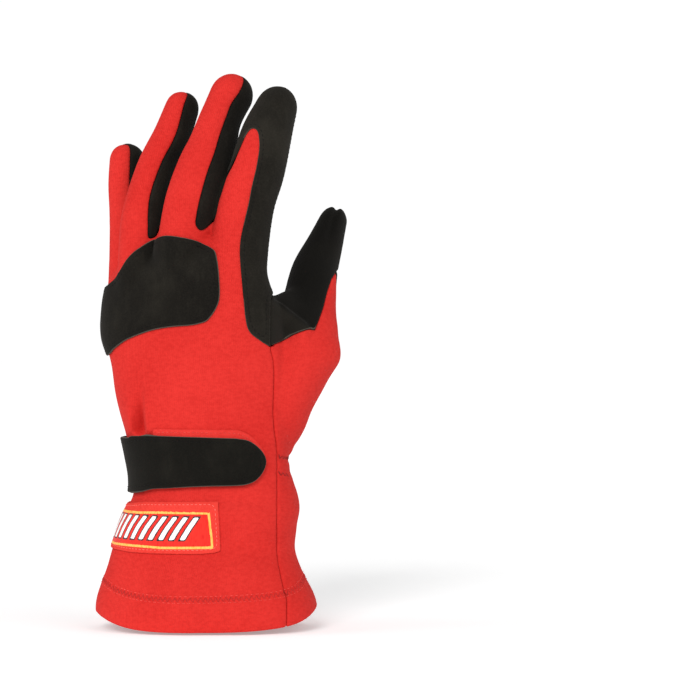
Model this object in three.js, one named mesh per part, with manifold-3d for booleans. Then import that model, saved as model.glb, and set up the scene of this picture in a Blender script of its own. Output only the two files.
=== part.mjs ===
// Racing glove for the left hand, shown as worn: fingers up, back of the hand towards -Y, thumb towards +X.
// The glove is one hollow hand form, lofted from short tables, and cut along its seams into sewn panels.
// Trim that is sewn on top, such as the knuckle patch and the strap, follows the same form a little outside it.
// Millimetres. The origin is the middle of the wrist at the height of the strap.
import * as THREE from 'three';
import { mergeVertices } from 'three/addons/utils/BufferGeometryUtils.js';
import Module from 'manifold-3d';

const wasm = await Module();
wasm.setup();

// Driving dimensions
const WALL = 1.9;              // two layers of knit, or suede on its lining
const SEAM_GAP = 0.34;         // clearance between two panels that are sewn together
const LIFT = 0.32;             // clearance between a panel and the trim on it
const PATCH_THICK = 1.2;
const PAD_THICK = 1.1;
const STRAP_THICK = 1.7;
const LABEL_THICK = 1.0;
const CUFF_TOP = 14;           // the suede palm ends here, and the knit cuff begins
const FRONT_Y = -90;
const BACK_Y = 90;
const FAR = 300;               // beyond everything, for the solids that only cut

const SIDES = { body: 28, finger: 11, thumb: 12, web: 8 };
const STEPS = { body: 17, finger: 5, thumb: 6, web: 3 };
const SLICE_SIDES = { body: 14, finger: 8 };
const CAP_ANGLES = [35, 68];   // sections of a fingertip's quarter circle, in degrees
const SLICE_REACH = 0.6;       // how far a panel's zone reaches past the skin
const SLICE_START = 1;         // and how far before a finger's first section it begins
const MITRE_LIMIT = 0.5;       // a sharp corner moves out by no more than the distance over this
const SAME_POINT = 1e-4;       // corners nearer to each other than this are one
const BODY_SQUARE = 2.25;      // exponent of the sections' superellipse
const BACK_WRAP = 192;         // degrees round to the little finger's side, where the back panel ends
const KNUCKLES = { start: 60, span: 56 };  // over this height the form's end moves up as the form grows

// Sections of the hand and cuff, from below the hem to the knuckles: the left and right edge seen from the
// front, the middle's depth, half the thickness, how far the right edge comes forward, and how much higher it is.
const BODY = [
  { z: -100, left: -57.6, right: 56.5, mid: 3, deep: 41, skew: 1, rise: 0 },
  { z: -88, left: -57.8, right: 56.7, mid: 3, deep: 42.8, skew: 1, rise: 0 },
  { z: -75, left: -57.6, right: 57.2, mid: 3, deep: 44, skew: 1, rise: 0 },
  { z: -66, left: -55.6, right: 54.6, mid: 3, deep: 42, skew: 1, rise: 0 },
  { z: -54, left: -51.2, right: 48.4, mid: 3, deep: 39, skew: 2, rise: 0 },
  { z: -44, left: -49.4, right: 44.7, mid: 4, deep: 36, skew: 2, rise: 0 },
  { z: -34, left: -46.6, right: 45.6, mid: 4, deep: 35, skew: 3, rise: 0 },
  { z: -25, left: -42.4, right: 47.8, mid: 4, deep: 35, skew: 3, rise: 0 },
  { z: -18, left: -39.4, right: 46.8, mid: 4, deep: 33, skew: 3, rise: 0 },
  { z: -8, left: -38.6, right: 43.4, mid: 4, deep: 31, skew: 3, rise: 0 },
  { z: 2, left: -40.2, right: 41.8, mid: 4, deep: 30, skew: 4, rise: 0 },
  { z: 12, left: -42.6, right: 42.6, mid: 4, deep: 30, skew: 5, rise: 0 },
  { z: 24, left: -45.9, right: 43.0, mid: 5, deep: 29, skew: 6, rise: 0 },
  { z: 38, left: -49.0, right: 42.0, mid: 6, deep: 28, skew: 7, rise: 0 },
  { z: 54, left: -52.0, right: 40.0, mid: 7, deep: 26, skew: 9, rise: 0 },
  { z: 66, left: -55.6, right: 38.0, mid: 8, deep: 25, skew: 10, rise: 1 },
  { z: 79, left: -55.9, right: 35.4, mid: 9, deep: 23, skew: 12, rise: 2 },
  { z: 91, left: -54.6, right: 30.6, mid: 9, deep: 21, skew: 13, rise: 3 },
  { z: 102, left: -51.6, right: 28.4, mid: 9, deep: 19, skew: 13, rise: 5 },
  { z: 111, left: -44.0, right: 24.0, mid: 8, deep: 13.5, skew: 12, rise: 6 },
  { z: 116.5, left: -32.0, right: 13.0, mid: 6, deep: 5, skew: 6, rise: 4 },
];

// The hem hangs lowest in the middle. It rises to both sides of the cuff with a power of the distance from the
// middle: the fourth to the left, the second to the right, and the tenth for the turned-up right corner.
const HEM = { z: -85.6, half: 57.5, left: 7.5, right: 4, corner: 6.5, steps: 24 };

// Each finger: its centre line from inside the palm to where its tip rounds off, with half its width and half
// its thickness there, the seam's angle on the thumb side, and the tip's length beyond the last section.
const FINGERS = {
  index: {
    tip: 11.6, wrap: 196, end: 0.93,
    rows: [
      { x: 15, y: 3, z: 80, half: 14.2, deep: 13.5, seam: -8 },
      { x: 15.8, y: -3, z: 106, half: 14.2, deep: 13.6, seam: -8 },
      { x: 19.5, y: -5, z: 133, half: 14.0, deep: 13.0, seam: -8 },
      { x: 25.4, y: -5, z: 150.5, half: 13.4, deep: 12.6, seam: -8 },
      { x: 30.3, y: -2, z: 169.5, half: 12.3, deep: 12.0, seam: -8 },
      { x: 35.2, y: 3, z: 183.6, half: 10.0, deep: 10.8, seam: -8 },
    ],
  },
  middle: {
    tip: 11.8, wrap: 190, end: 0.97,
    rows: [
      { x: -15.4, y: 5, z: 84, half: 13.8, deep: 13.0, seam: 62 },
      { x: -13, y: 2, z: 108, half: 14.0, deep: 13.2, seam: 60 },
      { x: -9.2, y: 1, z: 133.4, half: 13.6, deep: 13.0, seam: 62 },
      { x: -3.1, y: 3, z: 151.8, half: 13.5, deep: 12.8, seam: 72 },
      { x: 1.6, y: 6, z: 163.4, half: 12.7, deep: 12.4, seam: 76 },
      { x: 5, y: 10, z: 176.2, half: 11.2, deep: 11.6, seam: 69 },
      { x: 7.9, y: 13, z: 184, half: 10.9, deep: 11.3, seam: 75 },
      { x: 11.5, y: 16, z: 191.8, half: 11.4, deep: 11.0, seam: 68 },
    ],
  },
  ring: {
    tip: 8.6, wrap: 190, end: 0.97,
    rows: [
      { x: -36.4, y: 12, z: 80, half: 12.0, deep: 12.2, seam: 66 },
      { x: -35.6, y: 12, z: 119.6, half: 11.4, deep: 12.0, seam: 66 },
      { x: -33, y: 14, z: 136.8, half: 10.8, deep: 11.2, seam: 76 },
      { x: -27.4, y: 17, z: 155.4, half: 10.2, deep: 10.8, seam: 74 },
      { x: -20.4, y: 21, z: 170.6, half: 9.8, deep: 10.4, seam: 72 },
      { x: -15, y: 26, z: 186.2, half: 9.0, deep: 9.8, seam: 80 },
    ],
  },
  pinky: {
    tip: 8.8, wrap: 190, end: 0.95,
    rows: [
      { x: -43, y: 29, z: 80, half: 11.0, deep: 11.0, seam: 72 },
      { x: -43.8, y: 32, z: 111, half: 10.2, deep: 10.8, seam: 72 },
      { x: -44.3, y: 34, z: 130, half: 9.8, deep: 10.4, seam: 72 },
      { x: -45.3, y: 35, z: 146, half: 9.6, deep: 10.0, seam: 71 },
      { x: -44.9, y: 37, z: 159.4, half: 9.4, deep: 9.6, seam: 73 },
    ],
  },
};
const THUMB = {
  tip: 10,
  rows: [
    { x: 24, y: 6, z: 2, half: 16.4, deep: 20 },
    { x: 29.6, y: 6, z: 16, half: 17.2, deep: 21 },
    { x: 34.8, y: 7, z: 26, half: 17.6, deep: 23 },
    { x: 40, y: 9, z: 35.4, half: 16.4, deep: 23 },
    { x: 45.6, y: 11, z: 46.6, half: 16.6, deep: 22 },
    { x: 48.4, y: 13, z: 57.2, half: 20.6, deep: 21 },
    { x: 49.8, y: 16, z: 66, half: 18.0, deep: 19 },
    { x: 50.8, y: 20, z: 75, half: 16.2, deep: 17 },
    { x: 52.5, y: 23, z: 84.2, half: 13.9, deep: 15.4 },
    { x: 53.3, y: 25, z: 89.8, half: 13.3, deep: 14.6 },
    { x: 53.8, y: 26, z: 93.6, half: 12.8, deep: 14.2 },
    { x: 55.7, y: 30, z: 101.8, half: 11.9, deep: 13.2 },
    { x: 60.3, y: 34, z: 114, half: 9.6, deep: 11.6 },
    { x: 64.2, y: 37, z: 125.2, half: 7.6, deep: 10.2 },
  ],
};

// The web between the index finger and the thumb, a short thick tube across the hand
const WEB = {
  tip: 6,
  rows: [
    { x: 20, y: 2, z: 74.4, half: 8.2, deep: 9 },
    { x: 30, y: 3, z: 76.2, half: 8.6, deep: 9 },
    { x: 38, y: 6, z: 76, half: 11.2, deep: 9 },
    { x: 46, y: 10, z: 69, half: 10.4, deep: 9 },
    { x: 54, y: 15, z: 60, half: 9.0, deep: 9 },
  ],
};

// Outlines, x and z, as an eye straight in front of the glove sees them. What lies nearer to the eye looks
// larger, so each is brought to the depth y of its piece.
const EYE = { x: 73.8, y: -1500, z: 58.2 };
const BACK_EDGE = seen(-14, [
  [34.6, 60.8], [32.3, 60.4], [34.3, 53], [34.8, 45], [34.3, 29], [34.9, 16.6], [36.2, 5], [36.4, -46],
  [38, -56], [40, -65], [41.6, -69], [41.6, -77], [41.1, -110], [-120, -110], [-120, 98], [-52, 102],
  [-38, 111], [-30, 117], [-12, 121], [6, 122], [14, 118], [24, 112], [34.6, 106],
]);
const THUMB_EDGE = [
  [32.5, 60.2], [38, 62.6], [43, 65.8], [48, 67.8], [53, 69.4], [55.6, 68.8], [57.6, 74], [60.4, 82],
  [62.4, 89], [64.6, 95.6], [67.6, 100.2], [76, 104], [100, 104], [100, 160], [52, 160], [46, 125],
  [40, 104], [38.4, 93], [35.6, 89], [33.6, 87.6], [32.5, 84],
];
const SIDE_EDGE = [
  [33, -110], [120, -110], [120, 112], [58, 112], [50, 78], [42, 72], [36, 68], [34.9, 60.5], [33, 60.5],
];
const PATCH_EDGE = seen(-16, [
  [-90, 100], [-62, 92], [-53, 94.5], [-48, 100], [-40.6, 109.2], [-35.4, 112.8], [-30, 116], [-25, 117.8],
  [-14.6, 117], [-4.2, 114.4], [1, 111.8], [3.4, 109.2], [5, 102.4], [6, 88], [5.4, 83], [3, 78],
  [-0.6, 73.6], [-4.2, 72.2], [-19.8, 70.4], [-30.2, 68.6], [-40.6, 65], [-51.2, 58.6], [-58, 54], [-90, 44],
]);
const STRIP_EDGE = seen(-15, [
  [12.6, 156.5], [15.8, 162.4], [17.9, 166.6], [18.4, 170], [20.4, 172.4], [23.4, 173.8], [25, 172.9], [26.2, 170], [26.6, 162.8],
  [25.2, 153.2], [22.8, 142.6], [19.4, 126.4], [17.2, 116.6], [16.6, 110], [17.6, 95], [18.6, 84.6],
  [19.8, 73.8], [21.9, 67.6], [27, 63.4], [32.3, 60.2], [32.5, 84], [36, 90], [60, 100], [90, 150],
  [80, 215], [4, 215], [4, 160],
]);
const PAD_EDGE = seen(-29, [
  [-29.6, 10], [-29.6, 16.9], [0, 16.8], [14.4, 16.6], [17.6, 15.8], [21, 14.2], [24, 11.8], [27.4, 7.8],
  [29.6, 2], [24, -8], [14, -10], [-29, -11],
]);
const STRAP_EDGE = seen(-29, [
  [-90, 12], [-60, 12], [-41.8, 13], [-30, 13.4], [11.4, 12.4], [16.6, 12], [20.8, 11.2], [24, 9.4],
  [28.4, 5.2], [30.4, 0.3], [30.1, -2.2], [27.8, -6.8], [25.8, -9], [21, -11.4], [18, -12], [1, -12.5],
  [-19.8, -13.8], [-38.5, -16.4], [-60, -18], [-90, -18],
]);
const LABEL_EDGE = seen(-31, [
  [-90, -20.8], [-41, -21], [5.2, -20.2], [7.3, -47.2], [3.8, -48.4], [-4.2, -48.9], [-30.2, -48.4],
  [-40.6, -47.3], [-49.9, -45.2], [-90, -36],
]);
const STRAP_BACK = 26;         // how deep each reaches round the little finger's side
const LABEL_BACK = 13;
const PATCH_BACK = 22;
const STRIP_BACK = 9;
const PAD_BACK = 0;

// The planes where the suede palm takes over from the thumb's panel and from the red outer side: a point on
// each, and the way towards the front
const THUMB_PLANE = { at: [50, 12, 60], front: [0.3, -1, 0.5] };
const SIDE_PLANE = { at: [64, 24, 0], front: [0.5, -1, 0] };

const COLOURS = {
  red: { color: 0xd63a33, roughness: 0.9, metalness: 0 },
  suede: { color: 0x1e1c19, roughness: 0.9, metalness: 0 },
  weave: { color: 0xdc3a2c, roughness: 0.8, metalness: 0 },
};

function seen(depth, outline) {
  const share = 1 - depth / EYE.y;
  return outline.map(([x, z]) => [EYE.x + (x - EYE.x) * share, EYE.z + (z - EYE.z) * share]);
}

// A smooth run of rows: every column goes through its values on a Catmull-Rom curve
function smoothRows(rows, steps) {
  const names = Object.keys(rows[0]);
  const curves = names.map((name) => new THREE.CatmullRomCurve3(
    rows.map((row, i) => new THREE.Vector3(row[name], i, 0)), false, 'centripetal'));
  return Array.from({ length: steps + 1 }, (_, i) => {
    const spot = curves.map((curve) => curve.getPoint(i / steps).x);
    return Object.fromEntries(names.map((name, k) => [name, spot[k]]));
  });
}

// A closed solid from rings of equal length, with a fan to the middle of the first and the last ring
function loft(rings) {
  const count = rings[0].length;
  const positions = rings.flat().flatMap((p) => [p.x, p.y, p.z]);
  const index = [];
  for (let i = 0; i + 1 < rings.length; i += 1) {
    for (let j = 0; j < count; j += 1) {
      const a = i * count + j;
      const b = i * count + ((j + 1) % count);
      index.push(a, b, b + count, a, b + count, a + count);
    }
  }
  const last = (rings.length - 1) * count;
  const middle = (ring) => ring.reduce((sum, p) => sum.add(p), new THREE.Vector3()).divideScalar(count);
  for (const ring of [rings[0], rings.at(-1)]) {
    const m = middle(ring);
    positions.push(m.x, m.y, m.z);
  }
  const firstPole = rings.length * count;
  for (let j = 0; j < count; j += 1) {
    const next = (j + 1) % count;
    index.push(next, j, firstPole, last + j, last + next, firstPole + 1);
  }
  const geometry = new THREE.BufferGeometry();
  geometry.setAttribute('position', new THREE.Float32BufferAttribute(positions, 3));
  geometry.setIndex(index);
  return solidOf(geometry);
}

// A geometry becomes a solid once its equal corners are merged; one that came out inside out has its triangles
// turned round
function solidOf(source) {
  const bare = source.clone();
  for (const name of ['normal', 'uv']) bare.deleteAttribute(name);
  const merged = mergeVertices(bare, SAME_POINT);
  const vertProperties = new Float32Array(merged.attributes.position.array);
  const triVerts = new Uint32Array(merged.index.array);
  let volume = 0;
  const corner = (k) => new THREE.Vector3().fromArray(vertProperties, triVerts[k] * 3);
  for (let k = 0; k < triVerts.length; k += 3) {
    volume += corner(k).dot(corner(k + 1).cross(corner(k + 2)));
  }
  if (volume < 0) {
    for (let k = 0; k < triVerts.length; k += 3) {
      const kept = triVerts[k];
      triVerts[k] = triVerts[k + 1];
      triVerts[k + 1] = kept;
    }
  }
  return new wasm.Manifold(new wasm.Mesh({ numProp: 3, vertProperties, triVerts }));
}

// A superellipse's two factors at an angle
function rounded(angle, power) {
  const c = Math.cos(angle);
  const s = Math.sin(angle);
  return [Math.sign(c) * Math.abs(c) ** (2 / power), Math.sign(s) * Math.abs(s) ** (2 / power)];
}

// A ring of the hand or cuff. Angle 0 is the thumb side, 90 degrees the front, 180 the little finger's side
function bodyRing(row, grow, angles) {
  const middle = (row.left + row.right) / 2;
  const half = (row.right - row.left) / 2;
  return angles.map((angle) => {
    const [c, s] = rounded(angle, BODY_SQUARE);
    return new THREE.Vector3(
      middle + (half + grow) * c, row.mid - (row.deep + grow) * s - row.skew * c, row.z + row.rise * c);
  });
}

function around(count) {
  return Array.from({ length: count }, (_, j) => (2 * Math.PI * j) / count);
}

function arc(from, to, count) {
  return Array.from({ length: count + 1 }, (_, j) => from + ((to - from) * j) / count);
}

// The knuckles' end moves up as the form grows, and the hem stays
function lifted(row, grow) {
  return { ...row, z: row.z + grow * Math.max(0, (row.z - KNUCKLES.start) / KNUCKLES.span) };
}

function body(grow) {
  const rows = smoothRows(BODY, STEPS.body);
  return loft(rows.map((row) => bodyRing(lifted(row, grow), grow, around(SIDES.body))));
}

// The frames of a tube: at each step its centre, the way across it and the way through it
function tubeFrames(rows, steps) {
  const spots = smoothRows(rows, steps);
  const points = spots.map((row) => new THREE.Vector3(row.x, row.y, row.z));
  return spots.map((row, i) => {
    const along = points[Math.min(i + 1, steps)].clone().sub(points[Math.max(i - 1, 0)]).normalize();
    const across = along.clone().cross(new THREE.Vector3(0, -1, 0)).normalize();
    const through = across.clone().cross(along).normalize();
    return { ...row, at: points[i], along, through, across };
  });
}

// The rounded end: sections that shrink along a quarter circle beyond the last frame
function withTip(frames, tip, grow) {
  const last = frames.at(-1);
  const caps = CAP_ANGLES.map((degrees) => {
    const a = THREE.MathUtils.degToRad(degrees);
    return {
      ...last,
      at: last.at.clone().addScaledVector(last.along, (tip + grow) * Math.sin(a)),
      shrink: Math.cos(a),
    };
  });
  return [...frames, ...caps];
}

function tubeRing(frame, grow, angles) {
  const k = frame.shrink ?? 1;
  return angles.map((angle) => frame.at.clone()
    .addScaledVector(frame.across, (frame.half + grow) * k * Math.cos(angle))
    .addScaledVector(frame.through, (frame.deep + grow) * k * Math.sin(angle)));
}

function tube(table, grow, sides, steps) {
  const frames = withTip(tubeFrames(table.rows, steps), table.tip, grow);
  return loft(frames.map((frame) => tubeRing(frame, grow, around(sides))));
}

function fingers(grow) {
  return Object.values(FINGERS).map((table) => tube(table, grow, SIDES.finger, STEPS.finger))
    .reduce((sum, one) => sum.add(one));
}

function hand(grow) {
  return body(grow).add(fingers(grow)).add(tube(THUMB, grow, SIDES.thumb, STEPS.thumb))
    .add(tube(WEB, grow, SIDES.web, STEPS.web));
}

// The slice of a finger between two seam angles, from its centre line outwards, a little past its skin
function fingerSlice(table, widen) {
  const reach = SLICE_REACH + widen;
  const frames = tubeFrames(table.rows, STEPS.finger);
  const [first, last] = [frames[0], frames.at(-1)];
  frames.unshift({ ...first, at: first.at.clone().addScaledVector(first.along, -SLICE_START - widen) });
  frames.push({ ...last, at: last.at.clone().addScaledVector(last.along, table.tip * table.end + widen) });
  const rings = frames.map((frame) => {
    const turn = widen / frame.half;
    const from = THREE.MathUtils.degToRad(frame.seam) - turn;
    const to = THREE.MathUtils.degToRad(table.wrap) + turn;
    const centre = frame.at.clone().addScaledVector(frame.through, -widen);
    return [centre, ...tubeRing(frame, reach, arc(from, to, SLICE_SIDES.finger))];
  });
  return loft(rings);
}

// The front part of the hand and cuff, in front of the seam that runs down the little finger's side
function bodySlice(widen) {
  const reach = SLICE_REACH + widen;
  const rings = smoothRows(BODY, STEPS.body).map((row) => {
    const turn = (2 * widen) / (row.right - row.left);
    const angles = arc(-turn, THREE.MathUtils.degToRad(BACK_WRAP) + turn, SLICE_SIDES.body);
    const spot = lifted(row, reach);
    return [new THREE.Vector3((row.left + row.right) / 2, row.mid + widen, spot.z),
      ...bodyRing(spot, reach, angles)];
  });
  return loft(rings);
}

// An outline moved outwards by a distance, each corner along the mean of its two edges' normals
function grown(outline, distance) {
  const points = outline.map(([x, z]) => new THREE.Vector2(x, z));
  const clockwise = THREE.ShapeUtils.isClockWise(points) ? 1 : -1;
  return points.map((point, i) => {
    const before = points.at(i - 1);
    const after = points[(i + 1) % points.length];
    const normal = (a, b) => new THREE.Vector2(a.y - b.y, b.x - a.x).normalize().multiplyScalar(clockwise);
    const first = normal(before, point);
    const second = normal(point, after);
    const mean = first.clone().add(second).normalize();
    return point.clone().addScaledVector(mean, distance / Math.max(mean.dot(first), MITRE_LIMIT));
  });
}

// A prism of an outline seen from the front, between two depths
function prism(outline, near, far, grow = 0) {
  const shape = new THREE.Shape(grown(outline, grow));
  const geometry = new THREE.ExtrudeGeometry(shape, { depth: far - near, bevelEnabled: false });
  geometry.rotateX(Math.PI / 2);
  geometry.translate(0, far, 0);
  return solidOf(geometry);
}

// Everything on the front side of a plane that is moved back by a distance
function inFrontOf(plane, widen) {
  const front = new THREE.Vector3(...plane.front).normalize();
  const geometry = new THREE.BoxGeometry(FAR, FAR, FAR);
  geometry.translate(0, 0, FAR / 2 - widen);
  geometry.applyQuaternion(new THREE.Quaternion().setFromUnitVectors(new THREE.Vector3(0, 0, 1), front));
  geometry.translate(...plane.at);
  return solidOf(geometry);
}

// Everything below the bowed hem
function belowHem() {
  const line = arc(-1, 1, HEM.steps).map((a) => {
    const rise = a < 0 ? HEM.left * a ** 4 : HEM.right * a ** 2 + HEM.corner * a ** 10;
    return [a * HEM.half, HEM.z + rise];
  });
  const [leftTop, rightTop] = [line[0][1], line.at(-1)[1]];
  const below = [[-FAR, -FAR], [FAR, -FAR], [FAR, rightTop], ...line.reverse(), [-FAR, leftTop]];
  return prism(below, FRONT_Y, BACK_Y);
}

function largest(solid) {
  return solid.decompose().sort((a, b) => b.volume() - a.volume())[0];
}

const glove = new THREE.Group();

function addPiece(name, solid, look) {
  const { vertProperties, triVerts, numProp } = largest(solid).getMesh();
  const geometry = new THREE.BufferGeometry();
  const positions = new Float32Array((vertProperties.length / numProp) * 3);
  for (let i = 0; i < positions.length; i += 1) {
    positions[i] = vertProperties[Math.floor(i / 3) * numProp + (i % 3)];
  }
  geometry.setAttribute('position', new THREE.BufferAttribute(positions, 3));
  geometry.setIndex(new THREE.BufferAttribute(new Uint32Array(triVerts), 1));
  geometry.computeVertexNormals();
  const mesh = new THREE.Mesh(geometry, new THREE.MeshStandardMaterial(look));
  mesh.name = name;
  glove.add(mesh);
}

// The hollow hand form, open at the hem
const shell = hand(0).subtract(hand(-WALL)).subtract(belowHem());

function thumbZone(widen) {
  return prism(THUMB_EDGE, FRONT_Y, BACK_Y, widen).intersect(inFrontOf(THUMB_PLANE, widen));
}

// The back of the hand, the backs of the fingers and the front half of the cuff, in one red knit panel
function backZone(widen) {
  const slices = Object.values(FINGERS).map((table) => fingerSlice(table, widen));
  const front = bodySlice(widen).intersect(prism(BACK_EDGE, FRONT_Y, BACK_Y, widen));
  return slices.reduce((sum, one) => sum.add(one), front).subtract(thumbZone(-widen));
}
addPiece('back', shell.intersect(backZone(0)), COLOURS.red);
let left = shell.subtract(backZone(SEAM_GAP));

// The black inner face of the thumb with the web
addPiece('thumb_panel', left.intersect(thumbZone(0)), COLOURS.suede);
left = left.subtract(thumbZone(SEAM_GAP));

// The thumb's outer side, the heel and the palm half of the cuff, in red knit
function sideZone(widen) {
  const outer = prism(SIDE_EDGE, FRONT_Y, BACK_Y, widen).intersect(inFrontOf(SIDE_PLANE, widen));
  const cuff = prism([[-FAR, -FAR], [FAR, -FAR], [FAR, CUFF_TOP], [-FAR, CUFF_TOP]], FRONT_Y, BACK_Y, widen);
  return cuff.add(outer);
}
addPiece('side', left.intersect(sideZone(0)), COLOURS.red);
addPiece('palm', left.subtract(sideZone(SEAM_GAP)), COLOURS.suede);

// A layer of trim that lies on the hand form inside an outline
function trim(form, low, thick, outline, far) {
  return form(low + thick).subtract(hand(low)).intersect(prism(outline, FRONT_Y, far));
}
addPiece('knuckle_patch', trim(hand, LIFT, PATCH_THICK, PATCH_EDGE, PATCH_BACK), COLOURS.suede);
const indexForm = (grow) => tube(FINGERS.index, grow, SIDES.finger, STEPS.finger).add(body(grow));
addPiece('index_strip', trim(indexForm, LIFT, PATCH_THICK, STRIP_EDGE, STRIP_BACK), COLOURS.suede);
addPiece('strap_pad', trim(body, LIFT, PAD_THICK, PAD_EDGE, PAD_BACK), COLOURS.red);
addPiece('strap', trim(body, 2 * LIFT + PAD_THICK, STRAP_THICK, STRAP_EDGE, STRAP_BACK), COLOURS.suede);
addPiece('label', trim(body, LIFT, LABEL_THICK, LABEL_EDGE, LABEL_BACK), COLOURS.weave);

export default glove;
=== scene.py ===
"""A left racing glove of red double knit and black suede, shown as worn, with its fingers up."""

import bpy
import numpy as np
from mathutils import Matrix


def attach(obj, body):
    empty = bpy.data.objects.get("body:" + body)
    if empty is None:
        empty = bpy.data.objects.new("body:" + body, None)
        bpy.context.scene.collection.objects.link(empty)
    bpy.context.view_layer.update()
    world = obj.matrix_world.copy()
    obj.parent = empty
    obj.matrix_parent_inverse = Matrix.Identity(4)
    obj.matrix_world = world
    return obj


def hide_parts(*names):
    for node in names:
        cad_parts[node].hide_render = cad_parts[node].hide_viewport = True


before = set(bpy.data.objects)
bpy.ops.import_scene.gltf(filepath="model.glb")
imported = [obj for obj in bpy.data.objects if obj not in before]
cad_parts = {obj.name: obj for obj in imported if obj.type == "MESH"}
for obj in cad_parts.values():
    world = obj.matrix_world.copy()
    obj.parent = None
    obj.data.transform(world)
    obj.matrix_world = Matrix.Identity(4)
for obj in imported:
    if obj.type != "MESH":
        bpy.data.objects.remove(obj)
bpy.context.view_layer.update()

# The floor, the light and the camera. A pale floor lies just under the cuff, under an even white sky with a
# soft key light from the upper left and two weaker ones from the sides. The camera looks level, square on to
# the back of the hand, from 1.5 m.
MM = 0.001
FLOOR_Z = -0.0866
FLOOR_SIDE = 60.0
FLOOR_TINT = (0.95, 0.95, 0.95, 1)
FLOOR_GLOW = 0.3
WHITE = (1, 1, 1, 1)
CAMERA_AT = (0.0738, -1.5, 0.0582)
FRAME_WIDTH = 0.364            # what the picture is wide at the glove
SENSOR = 36.0
SKY_SEEN = 1.02                # how bright the sky looks
SKY_LIGHT = 0.4                # how much light it gives
KEY = dict(turn=(62.0, 0.0, -13.0), strength=1.74, spread=24.0)
SIDE = dict(turn=(76.0, 0.0, -78.0), strength=0.86, spread=40.0)
FILL = dict(turn=(72.0, 0.0, 50.0), strength=0.9, spread=60.0)

scene = bpy.context.scene
scene.view_settings.view_transform = "Standard"

bpy.ops.mesh.primitive_plane_add(size=FLOOR_SIDE, location=(0, 0, FLOOR_Z))
floor = bpy.context.object
floor.name = "floor"
floor_paint = bpy.data.materials.new("floor_paint")
floor_paint.use_nodes = True
floor_shader = floor_paint.node_tree.nodes["Principled BSDF"]
floor_shader.inputs["Base Color"].default_value = FLOOR_TINT
floor_shader.inputs["Roughness"].default_value = 0.9
floor_shader.inputs["Specular IOR Level"].default_value = 0.1
floor_shader.inputs["Emission Color"].default_value = WHITE
floor_shader.inputs["Emission Strength"].default_value = FLOOR_GLOW
floor.data.materials.append(floor_paint)

sky = bpy.data.worlds.new("sky")
sky.use_nodes = True
scene.world = sky
sky_nodes, sky_links = sky.node_tree.nodes, sky.node_tree.links
paper = sky_nodes["Background"]
paper.inputs["Color"].default_value = WHITE
paper.inputs["Strength"].default_value = SKY_SEEN
dome = sky_nodes.new("ShaderNodeBackground")
dome.inputs["Color"].default_value = WHITE
dome.inputs["Strength"].default_value = SKY_LIGHT
ray = sky_nodes.new("ShaderNodeLightPath")
either = sky_nodes.new("ShaderNodeMixShader")
sky_links.new(ray.outputs["Is Camera Ray"], either.inputs[0])
sky_links.new(dome.outputs[0], either.inputs[1])
sky_links.new(paper.outputs[0], either.inputs[2])
sky_links.new(either.outputs[0], sky_nodes["World Output"].inputs["Surface"])

for name, sun in (("key", KEY), ("side", SIDE), ("fill", FILL)):
    lamp = bpy.data.lights.new(name, "SUN")
    lamp.energy = sun["strength"]
    lamp.angle = np.radians(sun["spread"])
    lamp_object = bpy.data.objects.new(name, lamp)
    lamp_object.rotation_euler = np.radians(sun["turn"])
    scene.collection.objects.link(lamp_object)

camera = bpy.data.cameras.new("camera")
camera.sensor_width = SENSOR
camera.lens = SENSOR * -CAMERA_AT[1] / FRAME_WIDTH
camera_object = bpy.data.objects.new("camera", camera)
camera_object.location = CAMERA_AT
camera_object.rotation_euler = (np.pi / 2, 0, 0)
scene.collection.objects.link(camera_object)
scene.camera = camera_object

# The hollow form. It isn't a piece of its own: it is the smooth skin that the panels are cut from, with its
# folds. Its tubes come from short tables in millimetres, and one remesh joins them.

# Columns: height, left edge, right edge, middle depth, half depth, skew and the right edge's rise.
BODY = (
    (-100, -57.6, 56.5, 3, 35, 1, 0),
    (-88, -57.8, 56.7, 3, 41, 1, 0),
    (-75, -57.6, 57.2, 3, 44, 1, 0),
    (-66, -55.6, 54.6, 3, 42, 1, 0),
    (-54, -51.2, 48.4, 3, 39, 2, 0),
    (-44, -49.4, 44.7, 4, 36, 2, 0),
    (-34, -46.6, 45.6, 4, 35, 3, 0),
    (-25, -42.4, 47.8, 4, 35, 3, 0),
    (-18, -39.4, 46.8, 4, 33, 3, 0),
    (-8, -38.6, 43.4, 4, 31, 3, 0),
    (2, -40.2, 41.8, 4, 30, 4, 0),
    (12, -42.6, 42.6, 4, 30, 5, 0),
    (24, -45.9, 43, 5, 29, 6, 0),
    (38, -49, 42, 6, 28, 7, 0),
    (54, -52, 40, 7, 26, 9, 0),
    (66, -55.6, 38, 8, 25, 10, 1),
    (79, -55.9, 35.4, 9, 23, 12, 2),
    (91, -54.6, 30.6, 9, 21, 13, 3),
    (102, -51.6, 28.4, 9, 19, 13, 5),
    (111, -44, 24, 8, 13.5, 12, 6),
    (116.5, -32, 13, 6, 5, 6, 4),
)
BODY_SQUARE = 2.25
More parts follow.
